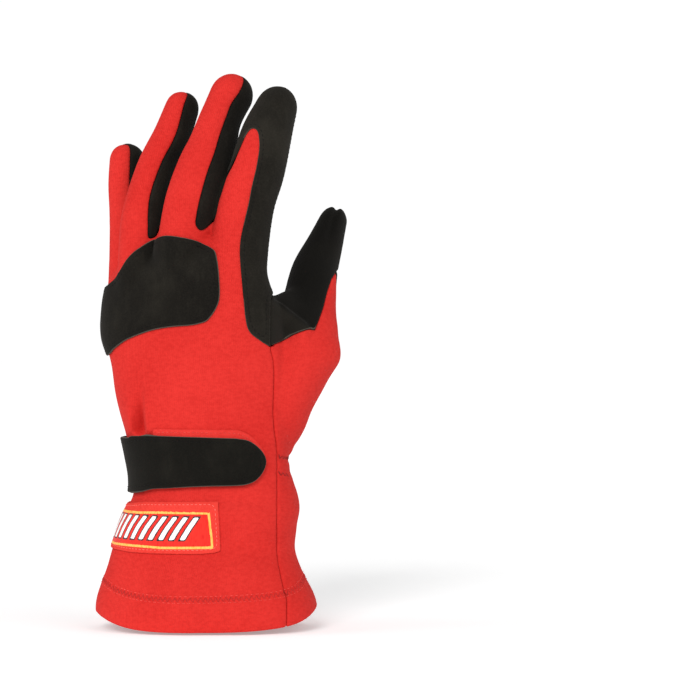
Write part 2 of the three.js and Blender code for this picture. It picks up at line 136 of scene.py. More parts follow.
# Columns: the middle's x, y and z, half width, half depth, and the seam's angle round the finger.
FINGERS = {
    "index": dict(tip=11.6, wrap=196, taper=38, end=0.93, rows=(
        (15, 3, 80, 14.2, 13.5, -8),
        (15.8, -3, 106, 14.2, 13.6, -8),
        (19.5, -5, 133, 14, 13, -8),
        (25.4, -5, 150.5, 13.4, 12.6, -8),
        (30.3, -2, 169.5, 12.3, 12, -8),
        (35.2, 3, 183.6, 10, 10.8, -8))),
    "middle": dict(tip=11.8, wrap=190, taper=0, end=0.97, rows=(
        (-15.4, 5, 84, 13.8, 13, 62),
        (-13, 2, 108, 14, 13.2, 60),
        (-9.2, 1, 133.4, 13.6, 13, 62),
        (-3.1, 3, 151.8, 13.5, 12.8, 72),
        (1.6, 6, 163.4, 12.7, 12.4, 76),
        (5, 10, 176.2, 11.2, 11.6, 70),
        (7.9, 13, 184, 10.9, 11.3, 73),
        (11.5, 16, 191.8, 11.4, 11, 68))),
    "ring": dict(tip=8.6, wrap=190, taper=0, end=0.97, rows=(
        (-36.4, 12, 80, 12, 12.2, 66),
        (-35.6, 12, 119.6, 11.4, 12, 66),
        (-33, 14, 136.8, 10.8, 11.2, 76),
        (-27.4, 17, 155.4, 10.2, 10.8, 74),
        (-20.4, 21, 170.6, 9.8, 10.4, 72),
        (-15, 26, 186.2, 9, 9.8, 80))),
    "pinky": dict(tip=8.8, wrap=190, taper=0, end=0.95, rows=(
        (-42, 19, 61, 10.5, 10, 72),
        (-43, 26, 82, 11, 11, 72),
        (-43.8, 32, 111, 10.2, 10.8, 72),
        (-44.3, 34, 130, 9.8, 10.4, 72),
        (-45.3, 35, 146, 9.6, 10, 71),
        (-44.9, 37, 159.4, 9.4, 9.6, 73))),
}
THUMB = dict(tip=10, rows=(
    (24, 6, 2, 16.4, 20),
    (29.6, 6, 16, 17.2, 21),
    (34.8, 7, 26, 17.6, 23),
    (40, 9, 35.4, 16.4, 23),
    (45.6, 11, 46.6, 16.6, 22),
    (48.4, 13, 57.2, 20.6, 21),
    (49.8, 16, 66, 18, 19),
    (50.8, 20, 75, 16.2, 17),
    (52.5, 23, 84.2, 13.9, 15.4),
    (53.3, 25, 89.8, 13.3, 14.6),
    (53.8, 26, 93.6, 12.8, 14.2),
    (55.7, 30, 101.8, 11.9, 13.2),
    (60.3, 34, 114, 9.6, 11.6),
    (64.2, 37, 125.2, 7.6, 10.2)))
WEB = dict(tip=6, rows=(
    (20, 2, 74.4, 8.2, 9),
    (30, 3, 74, 8.2, 9),
    (38, 6, 75.6, 11.2, 9),
    (46, 14, 75.4, 14, 8),
    (54, 18, 66, 10, 8)))
VOXEL = 1.0
SOFTEN = 16                    # rounds that ease the joined tubes into one another
SHRINK = 0.35                  # what the easing takes off a finger
WEB_FOLD = (34.0, 83.6)        # where the fold between thumb and web leaves the index finger
WEB_FOLD_UP = (0.607, 0.795)   # square to that fold, up, in the front view
WEB_SWELL = 3.0
PINCH_X = -31.8                # where the pinched cloth steps up, above the strap
PINCH_FOOT = 14.0
PINCH_DEEP = 12.0
PINCH_WIDE = 9.2
PINCH_LIP = 1.6
FLUTE_DEEP = 1.2
FLUTE_NUMBER = 5
HEM_GATHER = -90
TACK_AT = (40, 2)              # where the gathered wrist is tacked
TACK_DEEP = 0.8
THUMB_SEAM_DEEP = 2.4


def curve(a, b, c, d, t):
    """A Catmull-Rom curve from b to c, with a before and d after them, read at t from 0 to 1."""
    return 0.5 * (2 * b + (c - a) * t + (2 * a - 5 * b + 4 * c - d) * t**2 + (3 * b - a - 3 * c + d) * t**3)


def smooth_rows(rows, count):
    """Every column goes through its rows on a smooth curve, read at even steps."""
    rows = np.array(rows, float)
    place = np.linspace(0, len(rows) - 1, count)
    first = np.clip(place.astype(int), 0, len(rows) - 2)
    t = (place - first)[:, None]
    ends = np.vstack([2 * rows[0] - rows[1], rows, 2 * rows[-1] - rows[-2]])
    return curve(*(ends[first + k] for k in range(4)), t)


def superellipse(angle):
    """Across and through, from -1 to 1, for each angle round the hand."""
    return [np.sign(v) * np.abs(v) ** (2 / BODY_SQUARE) for v in (np.cos(angle), np.sin(angle))]


def body_grid(steps=90, sides=120):
    """Rings (height, angle) of skewed superellipses between the left and right edge. Angle 0 is +X."""
    z, left, right, mid, deep, skew, rise = smooth_rows(BODY, steps).T[:, :, None]
    angle = np.linspace(0, 2 * np.pi, sides, endpoint=False)[None, :]
    c, s = superellipse(angle)
    x = (left + right) / 2 + (right - left) / 2 * c
    return np.stack([x, mid - deep * s - skew * c, z + rise * c], axis=2)


def unit(vectors):
    return vectors / np.linalg.norm(vectors, axis=-1, keepdims=True)


def finger_frames(rows, steps=60):
    """Along a finger's centre line: its points, the ways along, across and through it, and the table."""
    table = smooth_rows(rows, steps)
    points = table[:, :3]
    along = unit(np.gradient(points, axis=0))
    across = unit(np.cross([0.0, -1.0, 0.0], -along))
    return points, along, across, np.cross(across, along), table[:, 3:]


def finger_grid(shape, sides=40):
    """Rings round the centre line, then rings that shrink along a quarter circle over the tip."""
    points, along, across, through, table = finger_frames(shape["rows"])
    turn = np.radians(np.linspace(8, 84, 12))
    points = np.vstack([points, points[-1] + shape["tip"] * np.sin(turn)[:, None] * along[-1]])
    shrink = np.concatenate([np.ones(len(table)), np.cos(turn)])[:, None, None]
    columns = (across, through, table)
    across, through, table = (np.vstack([a, np.repeat(a[-1:], len(turn), 0)]) for a in columns)
    angle = np.linspace(0, 2 * np.pi, sides, endpoint=False)[None, :, None]
    half, deep = table[:, 0][:, None, None], table[:, 1][:, None, None]
    ring = half * np.cos(angle) * across[:, None] + deep * np.sin(angle) * through[:, None]
    return points[:, None] + shrink * ring


def closed_tube(grid):
    """Quads between the rings of a grid, and a fan to the middle of each end ring."""
    rings, sides = grid.shape[:2]
    corner = np.arange(rings * sides).reshape(rings, sides)
    right = np.roll(corner, -1, axis=1)
    quads = np.stack([corner[:-1], right[:-1], right[1:], corner[1:]], axis=2).reshape(-1, 4)
    poles = np.array([rings * sides, rings * sides + 1])
    first = np.stack([right[0], corner[0], np.full(sides, poles[0])], axis=1)
    last = np.stack([corner[-1], right[-1], np.full(sides, poles[1])], axis=1)
    points = np.vstack([grid.reshape(-1, 3), grid[0].mean(axis=0), grid[-1].mean(axis=0)])
    return points, quads, np.vstack([first, last])


def joined_skin(grids):
    """One closed skin round all the tubes: their meshes side by side, then a voxel remesh."""
    points, faces, start = [], [], 0
    for grid in grids:
        spots, quads, fans = closed_tube(grid)
        points.append(spots)
        faces += (quads + start).tolist() + (fans + start).tolist()
        start += len(spots)
    mesh = bpy.data.meshes.new("tubes")
    mesh.from_pydata(np.vstack(points) * MM, [], faces)
    tubes = bpy.data.objects.new("tubes", mesh)
    scene.collection.objects.link(tubes)
    remesh = tubes.modifiers.new("join", "REMESH")
    remesh.mode = "VOXEL"
    remesh.voxel_size = VOXEL * MM
    skin = tubes.evaluated_get(bpy.context.evaluated_depsgraph_get()).to_mesh()
    skin.calc_loop_triangles()
    spots = np.empty(len(skin.vertices) * 3)
    skin.vertices.foreach_get("co", spots)
    corners = np.empty(len(skin.loop_triangles) * 3, np.int64)
    skin.loop_triangles.foreach_get("vertices", corners)
    bpy.data.objects.remove(tubes)
    return spots.reshape(-1, 3) / MM, corners.reshape(-1, 3)


def sides_of(triangles):
    return np.vstack([triangles[:, [0, 1]], triangles[:, [1, 2]], triangles[:, [2, 0]]])


def eased(values, edges, rounds, step=0.5):
    """Each value moves part of the way to the mean of its neighbours, again and again."""
    count = len(values)
    shape = values.shape
    values = values.reshape(count, -1).copy()
    a, b = edges.T
    number = np.bincount(a, minlength=count) + np.bincount(b, minlength=count)
    for _ in range(rounds):
        for k in range(values.shape[1]):
            column = values[:, k]
            total = np.bincount(a, column[b], count) + np.bincount(b, column[a], count)
            values[:, k] = column + step * (total / number - column)
    return values.reshape(shape)


def normals_of(points, triangles):
    a, b, c = (points[triangles[:, k]] for k in range(3))
    face = np.cross(b - a, c - a)
    total = np.stack([sum(np.bincount(triangles[:, j], face[:, k], len(points)) for j in range(3))
                      for k in range(3)], axis=1)
    return total / np.maximum(np.linalg.norm(total, axis=1, keepdims=True), 1e-12)


tubes = [body_grid()] + [finger_grid(f) for f in FINGERS.values()] + [finger_grid(THUMB), finger_grid(WEB)]
skin_points, skin_triangles = joined_skin(tubes)
skin_edges = np.unique(np.sort(sides_of(skin_triangles), axis=1), axis=0)
skin_points = eased(skin_points, skin_edges, SOFTEN)
skin_points += SHRINK * normals_of(skin_points, skin_triangles)


def bump(distance, width):
    """A smooth bell: 1 at distance 0, falling to about a third at one width."""
    return np.exp(-((distance / width) ** 2))


def ramp(value, low, high):
    """0 below low, 1 above high, with a smooth rise between."""
    t = np.clip((value - low) / (high - low), 0, 1)
    return t * t * (3 - 2 * t)


def above_fold(spots):
    """How far each point lies above the fold between the web's face and the thumb, in the front view."""
    return (spots[:, 0] - WEB_FOLD[0]) * WEB_FOLD_UP[0] + (spots[:, 2] - WEB_FOLD[1]) * WEB_FOLD_UP[1]


# The folds of the cloth, each a bell or a wave along the skin's normals: a pinch that runs up from the strap,
# soft flutes in the cuff, creases under the strap, the tacked wrist, the seam over the thumb's tip and
# shallow waves that keep the knit alive.
x, y, z = skin_points.T
front = ramp(-y, -6, 2)
pinch = ramp(z, 13.8, 16.6) * (1 - ramp(z, 18, 46)) * front
beside = x - PINCH_X + 0.06 * (z - PINCH_FOOT)
slope = np.clip((beside + 9.6 - 0.14 * (z - PINCH_FOOT)) / PINCH_WIDE, 0, 1)
step = ramp(beside, -0.7, 0.5)
dent = PINCH_DEEP * slope**1.5 * (1 - step)
dent -= PINCH_LIP * (bump(beside + 8.4, 2.6) + step * (1 - ramp(beside, 1, 9)))
skin_points[:, 1] += pinch * dent
round_cuff = np.arctan2(-(y - 4), x)
low = 1 - ramp(z, -62, -36)
fold = low * FLUTE_DEEP * np.sin(FLUTE_NUMBER * round_cuff + 0.035 * z + 0.6)
fold *= 1 - 0.5 * bump(z - HEM_GATHER, 14)
fold -= 0.9 * bump(z + 17.5 + 0.05 * x, 3.4) * front
fold += 0.5 * bump(z + 27 + 0.22 * x, 6) * front
fold += 0.35 * np.sin(x * 0.16 + z * 0.09) * np.sin(z * 0.13 - x * 0.05 + 1.0) * (1 - ramp(z, 44, 64))
tack = bump(z - TACK_AT[1], 10) * bump(x - TACK_AT[0], 7)
fold -= TACK_DEEP * tack * (0.5 + 0.5 * np.sin(z * 0.9))
thumb_line = x - (66.5 + 0.26 * (z - 133))
fold -= THUMB_SEAM_DEEP * bump(thumb_line, 1.2) * ramp(z, 112, 128) * ramp(x, 50, 54)
above_web = above_fold(skin_points) * ramp(x, 31, 33)
web_face = ramp(-above_web, -1.0, 0.6) * ramp(x, 32.6, 34) * ramp(z, 55, 62) * ramp(14 - y, 0, 6)
web_face *= (1 - ramp(-above_web, 1, 11)) * ramp(x, 33, 39) * (1 - ramp(x, 49, 54))
fold += WEB_SWELL * web_face
skin_points += fold[:, None] * normals_of(skin_points, skin_triangles)
skin_points = eased(skin_points, skin_edges, 2)
skin_normals = normals_of(skin_points, skin_triangles)

# Where each point of that form lies: round the hand, and round and along each finger. The seams are drawn
# with these, in millimetres of signed distance, positive on a panel's own side of its seam.
x, y, z = skin_points.T
body_rows = smooth_rows(BODY, 400)
b_left, b_right, b_mid, b_deep, b_skew = (np.interp(z, body_rows[:, 0], body_rows[:, k]) for k in range(1, 6))
body_half = (b_right - b_left) / 2
across_hand = (x - (b_left + b_right) / 2) / body_half
toward_front = -(y - b_mid + b_skew * across_hand) / b_deep
body_angle = np.degrees(np.arctan2(toward_front, across_hand))
body_angle = np.where(body_angle < -90, body_angle + 360, body_angle)


def finger_place(shape, low=60):
    """For every point: its angle round the nearest spot of the finger, its radius there (1 on the skin), how
    far it is beyond the last section, and that spot's half width and seam angle."""
    points, along, across, through, table = finger_frames(shape["rows"], 160)
    near = z > low
    offset = skin_points[near][:, None] - points[None]
    nearest = (offset**2).sum(axis=2).argmin(axis=1)
    offset = offset[np.arange(len(nearest)), nearest]
    u = (offset * across[nearest]).sum(axis=1) / table[nearest, 0]
    v = (offset * through[nearest]).sum(axis=1) / table[nearest, 1]
    past = np.where(nearest == len(points) - 1, (offset * along[-1]).sum(axis=1), -1.0)
    angle = np.degrees(np.arctan2(v, u))
    found = np.stack([np.where(angle < -90, angle + 360, angle), np.hypot(u, v), past,
                      table[nearest, 0], table[nearest, 2]], axis=1)
    every = np.tile([0.0, 9.0, -1.0, 10.0, 0.0], (len(x), 1))
    every[near] = found
    return every.T


def seen(outline, depth):
    """An outline drawn as the front view shows it, brought to the depth of its piece: what lies nearer to the
    eye looks larger, so it is drawn smaller."""
    eye_x, eye_y, eye_z = np.array(CAMERA_AT) / MM
    return np.array([eye_x, eye_z]) + (np.array(outline, float) - [eye_x, eye_z]) * (1 - depth / eye_y)


def smooth_outline(points, steps=5):
    """A closed smooth curve through the corners of an outline."""
    around = np.array(points, float)
    count = len(around)
    place = np.arange(count * steps) / steps
    first = place.astype(int)
    t = (place - first)[:, None]
    return curve(*(around[(first + k) % count] for k in (-1, 0, 1, 2)), t)


def inside(outline, px, pz):
    """Signed distance, in the front view, from each point to a closed outline, positive inside it."""
    best = np.full(len(px), 1e9)
    odd = np.zeros(len(px), bool)
    for (ax, az), (bx, bz) in zip(outline, np.roll(outline, -1, axis=0)):
        ux, uz = bx - ax, bz - az
        t = np.clip(((px - ax) * ux + (pz - az) * uz) / max(ux * ux + uz * uz, 1e-9), 0, 1)
        best = np.minimum(best, (px - ax - t * ux) ** 2 + (pz - az - t * uz) ** 2)
        if az != bz:
            odd ^= ((az > pz) != (bz > pz)) & (px < (bx - ax) * (pz - az) / (bz - az) + ax)
    return np.where(odd, 1, -1) * np.sqrt(best)


# How far in front of the middle of the wrist each outline's piece lies.
BACK_AT = -14
TONGUE_AT = -6
THUMB_AT = 0
STRIP_AT = -15
PATCH_AT = -16
STRAP_AT = -29
LABEL_AT = -31
OUTSIDE = -9.0                 # a distance for points that a piece never reaches

BACK_EDGE = seen([
    (34.6, 60.8), (32.3, 60.4), (34.3, 53), (34.8, 45), (34.4, 32), (34.2, 26), (34.9, 16.6), (36.2, 7.3),
    (36.4, 3), (36.4, -46), (36.9, -51), (38, -56), (40, -65), (41.6, -69), (41.6, -77), (41.1, -110),
    (-120, -110), (-120, 98), (-52, 102), (-45, 106), (-38, 111), (-30, 117), (-24, 118.6), (-12, 121),
    (-8, 121), (-3, 120), (2, 121), (6, 122), (14, 118), (24, 112), (34.6, 106)], BACK_AT)
THUMB_EDGE = seen([
    (32.5, 60.2), (38, 62.6), (43, 65.8), (48, 67.8), (53, 69.4), (55.6, 68.8), (57.6, 74), (60.4, 82),
    (62.4, 89), (64.6, 95.6), (67.6, 100.2), (76, 104), (100, 104), (100, 160), (52, 160), (46, 125),
    (40, 104), (38.4, 93), (37.4, 90.4), (35.6, 89), (33.6, 87.6), (32.5, 84), (32.5, 76)], THUMB_AT)
TONGUE = smooth_outline(seen([
    (7.1, 171.8), (4.5, 164.8), (2.3, 158.8), (0.2, 151), (-2, 143.2), (-4.2, 134.5), (-5.7, 126.7),
    (-5.9, 123.6), (-4.7, 121.2), (-2.9, 120.3), (-0.7, 121.2), (1.9, 124.3), (3.6, 129.3), (4.9, 135.4),
    (6.7, 140.6), (8.8, 147.5), (11, 151.8), (14, 157), (20, 171)], TONGUE_AT))
SIDE_EDGE = np.array([
    (33, -110), (120, -110), (120, 112), (58, 112), (50, 78), (42, 72), (36, 68), (34.9, 60.5), (33, 60.5)])
BACK_WRAP = 192.0              # degrees round the little finger's side where the back panel ends
CUFF_TOP = 14.0
HEM_Z = -85.6


def raised(outline, lift):
    """How far inside an outline each point of the skin is, once it is raised to where the piece lies."""
    up = skin_points + lift * skin_normals
    return inside(outline, up[:, 0], up[:, 2])


finger_zone = np.full(len(x), -99.0)
for finger in FINGERS.values():
    angle, radius, past, half, seam = finger_place(finger)
    wrap = finger["wrap"] - finger["taper"] * ramp(z, 140, 160)
    zone = np.minimum(np.radians(angle - seam) * half, np.radians(wrap - angle) * half)
    zone = np.minimum(zone, (1.1 - radius) * half)
    zone = np.minimum(zone, finger["tip"] * finger["end"] - past)
    finger_zone = np.maximum(finger_zone, zone)
hand_zone = np.minimum(inside(BACK_EDGE, x, z), np.radians(BACK_WRAP - body_angle) * body_half)
hand_zone = np.minimum(hand_zone, np.radians(body_angle + 2) * body_half)
# On the palm's side the thumb's panel and the side panel end at slanting planes, where the palm takes over.
thumb_back = 12 + 0.5 * (z - 60) + 0.3 * (x - 50) - y
side_back = 24 + 0.5 * (x - 64) - y
thumb_zone = np.minimum(inside(THUMB_EDGE, x, z), thumb_back)
back_zone = eased(np.maximum(finger_zone, hand_zone), skin_edges, 9)
# The black between the index and the middle finger ends in a rounded tongue, drawn in the front view.
tongue_share = ramp(z, 113, 117) * (1 - ramp(z, 148, 158)) * ramp(x, -13, -9) * (1 - ramp(x, 13, 17))
tongue_share *= ramp(-skin_normals[:, 1], 0.0, 0.25)
back_zone += tongue_share * (-inside(TONGUE, x, z) - back_zone)
back_zone = np.minimum(back_zone, -thumb_zone)
side_zone = np.maximum(CUFF_TOP - z, np.minimum(inside(SIDE_EDGE, x, z), side_back))
side_field = np.minimum(np.minimum(side_zone, -back_zone), -thumb_zone)
palm_field = np.minimum(np.minimum(-side_zone, -back_zone), -thumb_zone)
# The hem hangs lowest in the middle and rises to both sides of the cuff.
to_left, to_right = np.clip(-across_hand, 0, 1), np.clip(across_hand, 0, 1)
above_hem = z - HEM_Z - 7.5 * to_left**4 - 4 * to_right**2 - 6.5 * to_right**10

# Cutting and sewing. A panel is cut from the skin along its seam, gets rings of points that follow the cut,
# is turned in there, and gets its thickness.
SEAM_GAP = 0.3
WALL = 1.9
SHORTEST_LINE = 12             # crossings; a shorter line gets no stitches


def crossed(data, triangles, field):
    """Where the line field = 0 crosses the triangles: which of them, their corners with the lone one first,
    the points on their edges, and the two of those points that each triangle has."""
    signs = (field > 0)[triangles]
    number = signs.sum(axis=1)
    mixed = (number == 1) | (number == 2)
    cut, signs = triangles[mixed], signs[mixed]
    lone = np.where(number[mixed] == 1, signs.argmax(axis=1), (~signs).argmax(axis=1))
    a, b, c = (cut[np.arange(len(cut)), (lone + k) % 3] for k in range(3))
    pairs = np.sort(np.vstack([np.stack([a, b], 1), np.stack([a, c], 1)]), axis=1)
    edges, place = np.unique(pairs, axis=0, return_inverse=True)
    low, high = edges.T
    share = (field[low] / (field[low] - field[high]))[:, None]
    return mixed, (a, b, c), data[low] * (1 - share) + data[high] * share, place.reshape(2, -1)


def split(data, triangles, field):
    """Cuts each triangle that the line field = 0 crosses, along that line, and keeps both sides."""
    mixed, (a, b, c), fresh, place = crossed(data, triangles, field)
    ab, ac = place + len(data)
    pieces = [np.stack(t, 1) for t in ((a, ab, ac), (ab, b, c), (ab, c, ac))]
    return np.vstack([data, fresh]), np.vstack([triangles[~mixed]] + pieces)


def kept(data, triangles, keep):
    triangles = triangles[keep]
    used, fresh = np.unique(triangles, return_inverse=True)
    return data[used], fresh.reshape(-1, 3)


def cut_out(field, rings=(0.45, 1.1, 2.0)):
    """The piece of the skin inside a seam: its points, their normals, their distance from the cut edge, and
    its triangles, with rings of points at the given distances from the edge."""
    data = np.column_stack([skin_points, skin_normals, field])
    near = data[:, 6][skin_triangles].max(axis=1) > 0
    data, triangles = kept(data, skin_triangles, near)
    for level in (0.0,) + tuple(rings):
        data, triangles = split(data, triangles, data[:, 6] - level)
        if level == 0:
            data, triangles = kept(data, triangles, data[:, 6][triangles].mean(axis=1) > 0)
    return data, triangles


def one_island(field):
    """The field with all its islands above 0 sunk, but for the biggest. Labels spread along the edges of the
    skin until each island has one."""
    edges = skin_edges[(field[skin_edges] > 0).all(axis=1)]
    label = np.arange(len(field))
    while True:
        low = np.minimum(label[edges[:, 0]], label[edges[:, 1]])
        fresh = label.copy()
        np.minimum.at(fresh, edges[:, 0], low)
        np.minimum.at(fresh, edges[:, 1], low)
        fresh = fresh[fresh]
        if (fresh == label).all():
            break
        label = fresh
    names, number = np.unique(label[field > 0], return_counts=True)
    crumbs = (field > 0) & (label != names[number.argmax()])
    return np.where(crumbs, -field, field)


def thick_piece(name, cut, lift, thick, drop=0.5, roll=1.0, raw=None):
    """A wall on what was cut from the skin: its outer face `lift` above it, its inner face `thick` lower, and
    a rim between. Within `roll` of the edge the outer face sinks by up to `drop` along a quarter of an
    ellipse. `raw` tells from the points which of them lie at a cut edge; everywhere, if it is left out."""
    data, triangles = cut
    points, normals, edge = data[:, :3], unit(data[:, 3:6]), data[:, 6]
    near = np.clip(1 - edge / roll, 0, 1)
    lift = lift + np.zeros(len(points))
    outer = points + normals * (lift - drop * (1 - np.sqrt(1 - near**2 * 0.9999)))[:, None]
    inner = points + normals * (lift - thick)[:, None]
    count = len(points)
    sides = sides_of(triangles)
    _, where, number = np.unique(np.sort(sides, axis=1), axis=0, return_inverse=True, return_counts=True)
    a, b = sides[number[where.reshape(-1)] == 1].T
    rim_faces = np.vstack([np.stack([b, a, a + count], 1), np.stack([b, a + count, b + count], 1)])
    faces = np.vstack([triangles, triangles[:, ::-1] + count, rim_faces])
    piece = mesh_piece(name, np.vstack([outer, inner]) * MM, faces)
    tag = piece.data.attributes.new("edge", "FLOAT", "POINT")
    if raw is not None:
        edge = edge - OUTSIDE * ~raw(points)
    tag.data.foreach_set("value", np.concatenate([edge, edge]).astype(np.float32))
    return piece


def mesh_piece(name, points, faces, sharp=42):
    """A mesh object at the origin, smooth but for edges sharper than an angle, riding on the one body."""
    mesh = bpy.data.meshes.new(name)
    mesh.from_pydata(points, [], faces, shade_flat=False)
    mesh.validate()
    mesh.set_sharp_from_angle(angle=np.radians(sharp))
    piece = bpy.data.objects.new(name, mesh)
    scene.collection.objects.link(piece)
    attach(piece, "root")
    return piece


def skin_lines(field, allowed=None):
    """The lines on the skin where field = 0, each an array of points with their normals, evened out and
    spaced 0.6 mm. A short segment crosses each triangle, and segments that share an end are joined up."""
    triangles = skin_triangles
    if allowed is not None:
        triangles = triangles[allowed[triangles].all(axis=1)]
    _, _, spots, place = crossed(np.column_stack([skin_points, skin_normals]), triangles, field)
    links = {}
    for p, q in place.T.tolist():
        links.setdefault(p, []).append(q)
        links.setdefault(q, []).append(p)
    starts = [k for k, near in links.items() if len(near) == 1] + list(links)
    lines = []
    for start in starts:
        path = [start]
        while links[path[-1]]:
            onward = links[path[-1]].pop()
            links[onward].remove(path[-1])
            path.append(onward)
        if len(path) > SHORTEST_LINE:
            lines.append(evened(spots[path]))
    return lines


def travelled(line):
    """How far along a line each of its points lies."""
    return np.concatenate([[0], np.cumsum(np.linalg.norm(np.diff(line[:, :3], axis=0), axis=1))])


def evened(line, spacing=0.6, window=5):
    """A line read at even steps along its length, each point then the mean of its neighbours."""
    along = travelled(line)
    steps = np.linspace(0, along[-1], max(int(along[-1] / spacing), window + 2))
    line = np.stack([np.interp(steps, along, column) for column in line.T], axis=1)
    closed = np.linalg.norm(line[0, :3] - line[-1, :3]) < 3 * spacing
    ends = (line[-window - 1:-1], line[1:window + 1]) if closed else \
        (2 * line[:1] - line[window:0:-1], 2 * line[-1:] - line[-2:-window - 2:-1])
    padded = np.vstack([ends[0], line, ends[1]])
    kernel = np.ones(2 * window + 1) / (2 * window + 1)
    return np.stack([np.convolve(column, kernel, "valid") for column in padded.T], axis=1)


def sewn(line, starts, ends, height, radius=0.24, arch=0.16, sides=6, steps=6):
    """Threads that each run along a line from a start to an end, both given as (distance along, distance
    beside). A thread is a thin tube that arches out of the cloth and goes back into it, with closed ends."""
    along = travelled(line)
    t = np.linspace(0, 1, steps)
    where = starts[:, None, :] + (ends - starts)[:, None, :] * t[None, :, None]
    spot = np.stack([np.interp(where[..., 0], along, column) for column in line.T], axis=2)
    onward = np.gradient(line[:, :3], axis=0)
    forward = np.stack([np.interp(where[..., 0], along, column) for column in onward.T], axis=2)
    normal = unit(spot[..., 3:])
    beside = unit(np.cross(forward, normal))
    rise = (np.sin(np.pi * t) ** 0.6 * (arch + radius) - radius)[None, :, None]
    centre = spot[..., :3] + where[..., 1:] * beside + (height + rise) * normal
    way = unit(np.gradient(centre, axis=1))
    across = unit(np.cross(way, normal))
    out = np.cross(across, way)
    round_about = np.linspace(0, 2 * np.pi, sides, endpoint=False)[:, None]
    thick = (radius * (0.35 + 0.65 * np.sin(np.pi * t) ** 0.5))[None, :, None, None]
    ring = np.cos(round_about) * across[:, :, None] + np.sin(round_about) * out[:, :, None]
    points = (centre[:, :, None] + thick * ring).reshape(-1, 3)
    corner = np.arange(len(points)).reshape(len(starts), steps, sides)
    near, far = corner[:, :-1], corner[:, 1:]
    near_right, far_right = np.roll(near, -1, axis=2), np.roll(far, -1, axis=2)
    walls = [np.stack([near, far, far_right], 3), np.stack([near, far_right, near_right], 3)]
    caps = [corner[:, 0, [0, k, k + 1]] for k in range(1, sides - 1)]
    caps += [corner[:, -1, [0, k + 1, k]] for k in range(1, sides - 1)]
    return points, np.vstack([w.reshape(-1, 3) for w in walls + caps])


def running(line, height, pitch=2.5, length=1.9, **settings):
    """One straight stitch after another along a line."""
    starts = np.arange(0.4, travelled(line)[-1] - length, pitch)
    zero = np.zeros_like(starts)
    return sewn(line, np.stack([starts, zero], 1), np.stack([starts + length, zero], 1), height, **settings)


def zigzag(line, height, pitch=1.3, width=1.5, start=0.5, **settings):
    """Slanted stitches that cross a line to and fro, each from one side of it to the other."""
    at = np.arange(start, travelled(line)[-1] - pitch, pitch)
    swing = np.where(np.arange(len(at)) % 2 == 0, width, -width)
    return sewn(line, np.stack([at, -swing], 1), np.stack([at + pitch, swing], 1), height, **settings)


def thread_piece(name, parts, paint):
    """Several sets of points and triangles as one piece."""
    shift = np.cumsum([0] + [len(points) for points, _ in parts[:-1]])
    points = np.vstack([points for points, _ in parts])
    faces = np.vstack([faces + start for (_, faces), start in zip(parts, shift)])
    piece = mesh_piece(name, points * MM, faces, sharp=80)
    piece.data.materials.append(paint)


def stitch_row(name, field, height, paint, slot, **settings):
    """Running stitches along every line on the skin where a field is 0."""
    thread_piece(name, [running(line, height, **settings) for line in skin_lines(field)], paint)


class Dye:
    """A value or colour on its way through a material. Sums and products of values add Math nodes."""

    def __init__(self, tree, socket=None):
        self.tree = tree
        self.socket = socket

    def node(self, kind, settings=None, inputs=None, out=0):
        made = self.tree.nodes.new(kind)
        for key, value in (settings or {}).items():
            setattr(made, key, value)
        for key, value in (inputs or {}).items():
            self.feed(made.inputs[key], value)
        return Dye(self.tree, made.outputs[out])

    def feed(self, socket, value):
        if isinstance(value, Dye):
            self.tree.links.new(value.socket, socket)
        else:
            socket.default_value = value

    def maths(self, operation, *values):
        return self.node("ShaderNodeMath", {"operation": operation}, dict(enumerate(values)))

    def __add__(self, other):
        return self.maths("ADD", self, other)

    def __sub__(self, other):
        return self.maths("SUBTRACT", self, other)

    def __rsub__(self, other):
        return self.maths("SUBTRACT", other, self)

    def __mul__(self, other):
        return self.maths("MULTIPLY", self, other)

    def __truediv__(self, other):
        return self.maths("DIVIDE", self, other)

    def step(self, low, high):
        """0 below low, 1 above high, smooth between."""
        settings = {"interpolation_type": "SMOOTHSTEP"}
        inputs = {"Value": self, "From Min": low, "From Max": high}
        return self.node("ShaderNodeMapRange", settings, inputs)

    def blend(self, first, second):
        """The first colour where this value is 0, the second where it is 1."""
        settings = {"data_type": "RGBA"}
        return self.node("ShaderNodeMix", settings, {0: self, 6: first, 7: second}, out=2)


def colour(r, g, b):
    """A colour as painted, 0 to 255, in the linear values that a shader takes."""
    v = np.array([r, g, b]) / 255
    return tuple(np.where(v > 0.04045, ((v + 0.055) / 1.055) ** 2.4, v / 12.92)) + (1.0,)


def new_material(name, roughness, specular, sheen=0.0, sheen_tint=(1, 1, 1, 1), sheen_roughness=0.5):
    """A Principled material with its plain values set, a Dye to build its texture with, and the place of each
    point of the object, for that texture."""
    material = bpy.data.materials.new(name)
    material.use_nodes = True
    shader = material.node_tree.nodes["Principled BSDF"]
    shader.inputs["Roughness"].default_value = roughness
    shader.inputs["Specular IOR Level"].default_value = specular
    shader.inputs["Sheen Weight"].default_value = sheen
    shader.inputs["Sheen Tint"].default_value = sheen_tint
    shader.inputs["Sheen Roughness"].default_value = sheen_roughness
    dye = Dye(material.node_tree)
    return material, shader, dye, dye.node("ShaderNodeTexCoord", out=3)


def noise(dye, place, scale, detail, rough):
    inputs = {"Vector": place, "Scale": scale, "Detail": detail, "Roughness": rough}
    return dye.node("ShaderNodeTexNoise", None, inputs)


def stretched_noise(dye, place, scale, detail, rough):
    """Noise with its own scale along each axis."""
    mapped = dye.node("ShaderNodeMapping", None, {"Vector": place, "Scale": scale})
    return noise(dye, mapped, 1.0, detail, rough)


